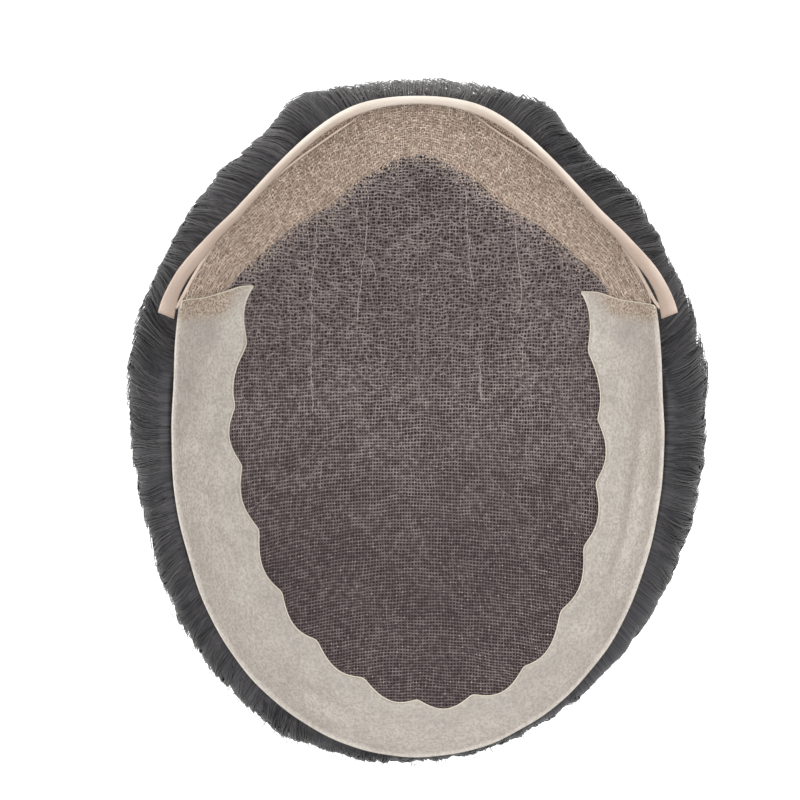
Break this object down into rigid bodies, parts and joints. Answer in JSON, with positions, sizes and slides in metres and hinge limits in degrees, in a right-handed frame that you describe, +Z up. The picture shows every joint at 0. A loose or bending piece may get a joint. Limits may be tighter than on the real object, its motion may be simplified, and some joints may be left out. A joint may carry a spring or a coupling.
{
  "type": "toupee hairpiece",
  "caption": "Hair system with a mesh centre, a lace front with a turned hem and a scalloped skin edge, lying on its dark hair with the hollow side up.",
  "frame": {"origin": "on the surface that the hair lies on, under the middle of the whole piece's bounding box", "axes": "+Z up, out of the hollow side; +Y towards the front hairline with the lace; +X to the right as seen from above"},
  "size_m": [0.1864, 0.2214, 0.0672],
  "materials": {
    "mono_mesh": "fine dark net, matte",
    "lace": "fine tan net, matte",
    "hem_lace": "folded pale lace, matte",
    "clear_skin": "thin translucent film, satin",
    "dark_hair": "fine strands, silky"
  },
  "bodies": {
    "root": {"mesh_center": "mono_mesh", "lace_front": "lace", "lace_hem": "hem_lace", "skin_perimeter": "clear_skin", "hair": "dark_hair"}
  },
  "joints": []
}
